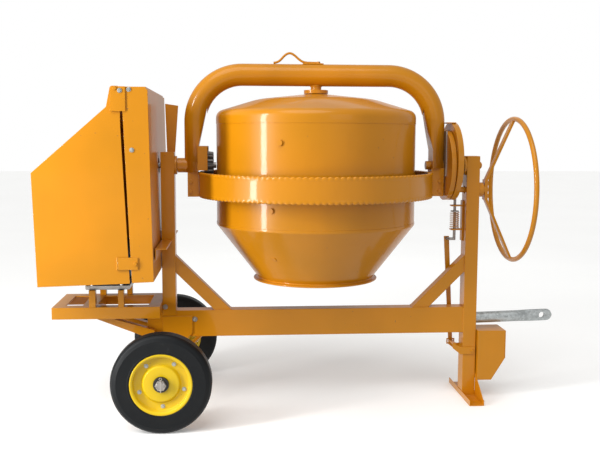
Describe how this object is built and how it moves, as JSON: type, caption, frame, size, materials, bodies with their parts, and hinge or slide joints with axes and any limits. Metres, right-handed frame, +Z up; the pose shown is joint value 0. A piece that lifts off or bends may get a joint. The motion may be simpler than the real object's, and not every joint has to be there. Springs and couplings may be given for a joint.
{
  "type": "concrete mixer",
  "caption": "Towable tilting-drum concrete mixer: drum in a pipe yoke between posts on a wheeled beam, with ring gear drive, hooded motor, handwheel tilting and tow eye.",
  "frame": {"origin": "centre of the foot's sole on the ground, under the right post", "axes": "+X from the engine to the towbar, +Y across the axle, +Z up"},
  "size_m": [2.6718, 1.2258, 1.8441],
  "materials": {
    "orange_paint": "gloss",
    "yellow_paint": "gloss",
    "solid_rubber": "satin",
    "black_iron": "satin",
    "galvanised_steel": "matte",
    "bare_steel": "satin",
    "gear_iron": "satin",
    "motor_paint": "satin",
    "belt_rubber": "matte"
  },
  "bodies": {
    "root": {"main_beam": "orange_paint", "left_post": "orange_paint", "right_post": "orange_paint", "left_brace": "orange_paint", "right_brace": "orange_paint", "foot_plate": "orange_paint", "towbar": "galvanised_steel", "toolbox": "orange_paint", "axle_crossbar": "orange_paint", "axle_brackets": "orange_paint", "axle_shaft": "bare_steel", "engine_table": "orange_paint", "engine_base": "black_iron", "belt_guard": "orange_paint", "guard_supports": "orange_paint", "cover_fittings": "orange_paint", "motor": "motor_paint", "drive_belts": "belt_rubber", "left_bearing": "orange_paint", "right_bearing": "orange_paint", "gear_cover": "orange_paint", "lock_bracket": "orange_paint", "lock_spring": "bare_steel"},
    "near_wheel": {"near_tyre": "solid_rubber", "near_rim": "yellow_paint", "near_hub": "black_iron"},
    "far_wheel": {"far_tyre": "solid_rubber", "far_rim": "yellow_paint", "far_hub": "black_iron"},
    "yoke": {"yoke_pipe": "orange_paint", "left_trunnion": "orange_paint", "right_trunnion": "orange_paint", "lifting_loop": "orange_paint", "drum_spindle": "orange_paint", "guard_brackets": "orange_paint", "near_ring_guard": "orange_paint", "far_ring_guard": "orange_paint", "pinion_hood": "orange_paint", "tilt_gear": "gear_iron"},
    "drum": {"drum_shell": "orange_paint", "drum_cone": "orange_paint", "drum_hub": "orange_paint", "gear_carrier": "orange_paint", "ring_gear": "gear_iron", "mixing_blades": "orange_paint", "blade_bolts": "orange_paint"},
    "drive": {"drive_shaft": "bare_steel", "bevel_pinion": "gear_iron", "large_pulley": "black_iron"},
    "motor_rotor": {"motor_pulley": "black_iron"},
    "handwheel": {"handwheel_shaft": "orange_paint", "handwheel_spokes": "orange_paint", "handwheel_rim": "orange_paint", "tilt_pinion": "gear_iron"},
    "engine_cover": {"engine_cover": "orange_paint"},
    "cover_latch": {"cover_latch": "orange_paint"},
    "toolbox_door": {"toolbox_door": "orange_paint"},
    "foot_pedal": {"foot_pedal": "orange_paint"},
    "lock_pin": {"lock_pin": "bare_steel", "pull_link": "orange_paint"}
  },
  "joints": [
    {"name": "near_wheel_spin", "type": "hinge", "parent": "root", "child": "near_wheel", "pos_m": [-1.615, -0.48, 0.24], "axis": [0, 1, 0], "continuous": true},
    {"name": "far_wheel_spin", "type": "hinge", "parent": "root", "child": "far_wheel", "pos_m": [-1.615, 0.48, 0.24], "axis": [0, 1, 0], "continuous": true},
    {"name": "yoke_tilt", "type": "hinge", "parent": "root", "child": "yoke", "pos_m": [-0.838, 0, 1.257], "axis": [1, 0, 0], "range_deg": [-150, 150]},
    {"name": "handwheel_spin", "type": "hinge", "parent": "root", "child": "handwheel", "pos_m": [0.1, 0, 1.127], "axis": [1, 0, 0], "range_deg": [-450, 450]},
    {"name": "drum_spin", "type": "hinge", "parent": "yoke", "child": "drum", "pos_m": [-0.838, 0, 1.55], "axis": [0, 0, 1], "continuous": true},
    {"name": "drive_shaft_spin", "type": "hinge", "parent": "yoke", "child": "drive", "pos_m": [-1.6, 0, 1.257], "axis": [1, 0, 0], "continuous": true},
    {"name": "motor_spin", "type": "hinge", "parent": "root", "child": "motor_rotor", "pos_m": [-1.7, 0, 0.772], "axis": [1, 0, 0], "continuous": true},
    {"name": "engine_cover_swing", "type": "hinge", "parent": "root", "child": "engine_cover", "pos_m": [-1.813, 0, 1.626], "axis": [0, 1, 0], "range_deg": [0, 70]},
    {"name": "cover_latch_swing", "type": "hinge", "parent": "engine_cover", "child": "cover_latch", "pos_m": [-1.816, -0.4515, 0.808], "axis": [0, 0, -1], "range_deg": [0, 110]},
    {"name": "toolbox_door_swing", "type": "hinge", "parent": "root", "child": "toolbox_door", "pos_m": [0.19, 0, 0.368], "axis": [0, -1, 0], "range_deg": [0, 85]},
    {"name": "foot_pedal_press", "type": "hinge", "parent": "root", "child": "foot_pedal", "pos_m": [0.015, 0, 0.256], "axis": [0, 1, 0], "range_deg": [0, 14]},
    {"name": "lock_pin_slide", "type": "slide", "parent": "root", "child": "lock_pin", "axis": [0, 0, 1], "range_m": [0, 0.022], "deforming": ["lock_spring"]}
  ],
  "couplings": [
    {"joint": "handwheel_spin", "follows": "yoke_tilt", "ratio": -3},
    {"joint": "drive_shaft_spin", "follows": "drum_spin", "ratio": -8.5},
    {"joint": "motor_spin", "follows": "drum_spin", "ratio": -46.75},
    {"joint": "foot_pedal_press", "follows": "lock_pin_slide", "rad_per_m": 10.75}
  ]
}
